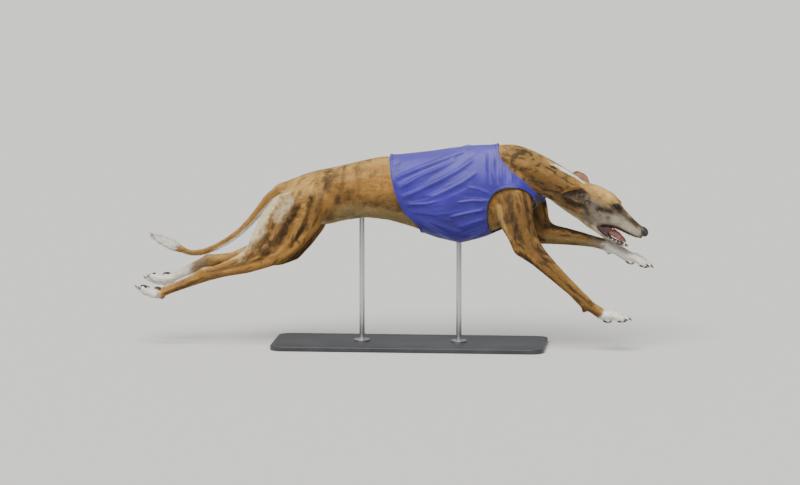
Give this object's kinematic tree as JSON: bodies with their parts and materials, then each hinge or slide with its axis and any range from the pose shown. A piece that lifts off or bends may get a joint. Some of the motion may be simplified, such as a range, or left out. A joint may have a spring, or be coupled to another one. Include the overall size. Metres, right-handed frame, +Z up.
{
  "type": "greyhound model",
  "caption": "Life-size greyhound at full stretch with all feet off the ground, in a close racing jacket, carried on two steel rods over a flat display base.",
  "frame": {"origin": "on the floor, under the middle of the bounding box", "axes": "+X from tail to nose, +Y to the dog's left, +Z up"},
  "size_m": [1.5552, 0.3, 0.6139],
  "materials": {
    "coat": "short flat hair, golden fawn with dark brindle streaks, grey on the face",
    "white_coat": "short flat white hair",
    "eye": "wet and glossy, dark brown",
    "nose": "finely pebbled, moist",
    "tongue": "soft and moist",
    "claw": "smooth horn",
    "jacket_cloth": "thin stretch cloth, royal blue",
    "stand_plate": "satin dark grey paint",
    "stand_steel": "brushed"
  },
  "bodies": {
    "root": {"chest": "coat", "loin": "coat", "rump": "coat", "neck": "coat", "head": "coat", "lower_jaw": "coat", "right_ear": "coat", "left_ear": "coat", "tail_root": "coat", "tail_middle": "coat", "tail_tip": "coat", "right_fore_shoulder": "coat", "right_fore_forearm": "coat", "right_fore_pastern": "coat", "right_fore_paw": "white_coat", "right_fore_claw_1": "claw", "right_fore_claw_2": "claw", "right_fore_claw_3": "claw", "right_fore_claw_4": "claw", "left_fore_shoulder": "coat", "left_fore_forearm": "coat", "left_fore_pastern": "coat", "left_fore_paw": "white_coat", "left_fore_claw_1": "claw", "left_fore_claw_2": "claw", "left_fore_claw_3": "claw", "left_fore_claw_4": "claw", "right_hind_thigh": "coat", "right_hind_gaskin": "coat", "right_hind_metatarsus": "coat", "right_hind_paw": "white_coat", "right_hind_claw_1": "claw", "right_hind_claw_2": "claw", "right_hind_claw_3": "claw", "right_hind_claw_4": "claw", "left_hind_thigh": "coat", "left_hind_gaskin": "coat", "left_hind_metatarsus": "coat", "left_hind_paw": "white_coat", "left_hind_claw_1": "claw", "left_hind_claw_2": "claw", "left_hind_claw_3": "claw", "left_hind_claw_4": "claw", "right_eye": "eye", "left_eye": "eye", "nose": "nose", "tongue": "tongue", "jacket": "jacket_cloth", "stand_base": "stand_plate", "stand_rod_front": "stand_steel", "stand_rod_rear": "stand_steel", "stand_collar_front": "stand_steel", "stand_collar_rear": "stand_steel"}
  },
  "joints": []
}
